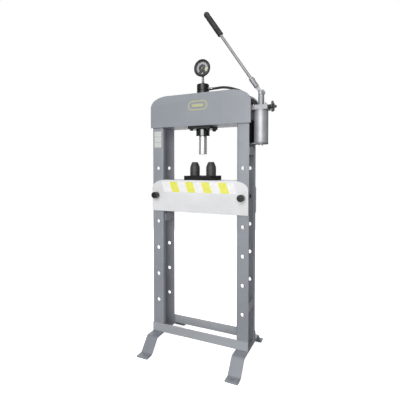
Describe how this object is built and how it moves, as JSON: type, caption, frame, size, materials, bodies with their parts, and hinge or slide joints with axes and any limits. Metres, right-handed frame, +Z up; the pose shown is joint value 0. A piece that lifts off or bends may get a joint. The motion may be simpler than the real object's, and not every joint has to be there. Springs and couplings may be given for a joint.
{
  "type": "hydraulic shop press",
  "caption": "Floor-standing H-frame hydraulic shop press with a hand pump, pressure gauge, pinned bed plates, sliding ram and turned support blocks.",
  "frame": {"origin": "on the floor under the ram's axis, at the centre of the four anchor holes in the feet", "axes": "+Z up along the ram, +Y to the rear, +X to the press's right side, where the hand pump is"},
  "size_m": [0.742, 0.498, 1.9779],
  "materials": {
    "frame_paint": "satin mid grey paint with a slight blue tint",
    "bed_paint": "satin off-white paint",
    "black_oxide": "black painted steel, satin",
    "tool_steel": "dark blackened steel, matt",
    "chrome": "hard chrome, polished",
    "steel": "turned and zinc plated steel",
    "spring_steel": "drawn spring wire",
    "cast_aluminium": "satin silver",
    "rubber_black": "matt black rubber",
    "seal_rubber": "smooth nitrile",
    "gauge_black": "gloss black",
    "dial_face": "printed dial",
    "gauge_lens": "clear flat lens",
    "needle_paint": "painted pointer, off-white",
    "knob_black": "moulded black"
  },
  "bodies": {
    "frame": {"column_front_left": "frame_paint", "column_front_right": "frame_paint", "column_rear_left": "frame_paint", "column_rear_right": "frame_paint", "battens_left": "frame_paint", "battens_right": "frame_paint", "head_plate_front": "frame_paint", "head_plate_rear": "frame_paint", "head_web_left": "frame_paint", "head_web_right": "frame_paint", "head_base_plate": "frame_paint", "cylinder_seat_plate": "black_oxide", "seat_bolts": "black_oxide", "rail_front": "frame_paint", "rail_rear": "frame_paint", "foot_left": "frame_paint", "foot_right": "frame_paint", "bed_plate_front": "bed_paint", "bed_plate_rear": "bed_paint", "bed_crossbar_left": "bed_paint", "bed_crossbar_right": "bed_paint", "cylinder_barrel": "steel", "cylinder_cap": "black_oxide", "cylinder_gland": "black_oxide", "rod_wiper": "seal_rubber", "return_spring": "spring_steel", "gauge_stem": "steel", "gauge_case": "gauge_black", "gauge_bezel": "gauge_black", "gauge_dial": "dial_face", "gauge_glass": "gauge_lens", "hose": "rubber_black", "hose_fitting": "steel", "hose_elbow": "rubber_black", "pump_bracket": "black_oxide", "pump_shelf": "cast_aluminium", "bracket_bolts": "black_oxide", "pump_block": "cast_aluminium", "reservoir": "cast_aluminium", "reservoir_tie_rod": "steel", "pump_tower": "steel", "plunger_spring": "spring_steel", "lever_pin": "steel", "valve_body": "black_oxide", "filler_plug": "tool_steel"},
    "bed_pin_left": {"bed_pin_left": "black_oxide"},
    "bed_pin_right": {"bed_pin_right": "black_oxide"},
    "ram": {"piston_rod": "chrome", "piston_head": "steel", "piston_seal": "seal_rubber"},
    "press_plate": {"press_plate": "black_oxide"},
    "support_block_left": {"support_block_left": "tool_steel"},
    "support_block_right": {"support_block_right": "tool_steel"},
    "gauge_needle": {"gauge_needle": "needle_paint"},
    "pump_plunger": {"pump_plunger": "steel"},
    "lever": {"lever_socket": "steel", "lever_screw": "steel", "lever_rod": "steel", "lever_grip": "rubber_black"},
    "valve_knob": {"valve_knob": "knob_black"}
  },
  "joints": [
    {"name": "ram_slide", "type": "slide", "parent": "frame", "child": "ram", "axis": [0, 0, -1], "range_m": [-0.084, 0.065], "deforming": ["return_spring"]},
    {"name": "bed_pin_left_pull", "type": "slide", "parent": "frame", "child": "bed_pin_left", "axis": [0, -1, 0], "range_m": [0, 0.2]},
    {"name": "bed_pin_right_pull", "type": "slide", "parent": "frame", "child": "bed_pin_right", "axis": [0, -1, 0], "range_m": [0, 0.2]},
    {"name": "press_plate_pull", "type": "slide", "parent": "frame", "child": "press_plate", "axis": [0, -1, 0], "range_m": [0, 0.17]},
    {"name": "left_block_shift", "type": "slide", "parent": "press_plate", "child": "support_block_left", "axis": [0, 1, 0], "range_m": [-0.045, 0.045]},
    {"name": "right_block_shift", "type": "slide", "parent": "press_plate", "child": "support_block_right", "axis": [0, 1, 0], "range_m": [-0.045, 0.045]},
    {"name": "needle_turn", "type": "hinge", "parent": "frame", "child": "gauge_needle", "pos_m": [0, -0.011, 1.656], "axis": [0, 1, 0], "range_deg": [0, 270], "stiffness_Nm_per_rad": 0.002},
    {"name": "lever_swing", "type": "hinge", "parent": "frame", "child": "lever", "pos_m": [0.347, 0, 1.481], "axis": [0, 1, 0], "range_deg": [0, 75]},
    {"name": "plunger_slide", "type": "slide", "parent": "frame", "child": "pump_plunger", "axis": [0, 0, 1], "range_m": [-0.0086, 0.0001], "deforming": ["plunger_spring"]},
    {"name": "valve_turn", "type": "hinge", "parent": "frame", "child": "valve_knob", "pos_m": [0.4, 0, 1.405], "axis": [1, 0, 0], "range_deg": [0, 270]}
  ],
  "couplings": [
    {"joint": "plunger_slide", "follows": "lever_swing", "m_per_rad": -0.0065108}
  ]
}
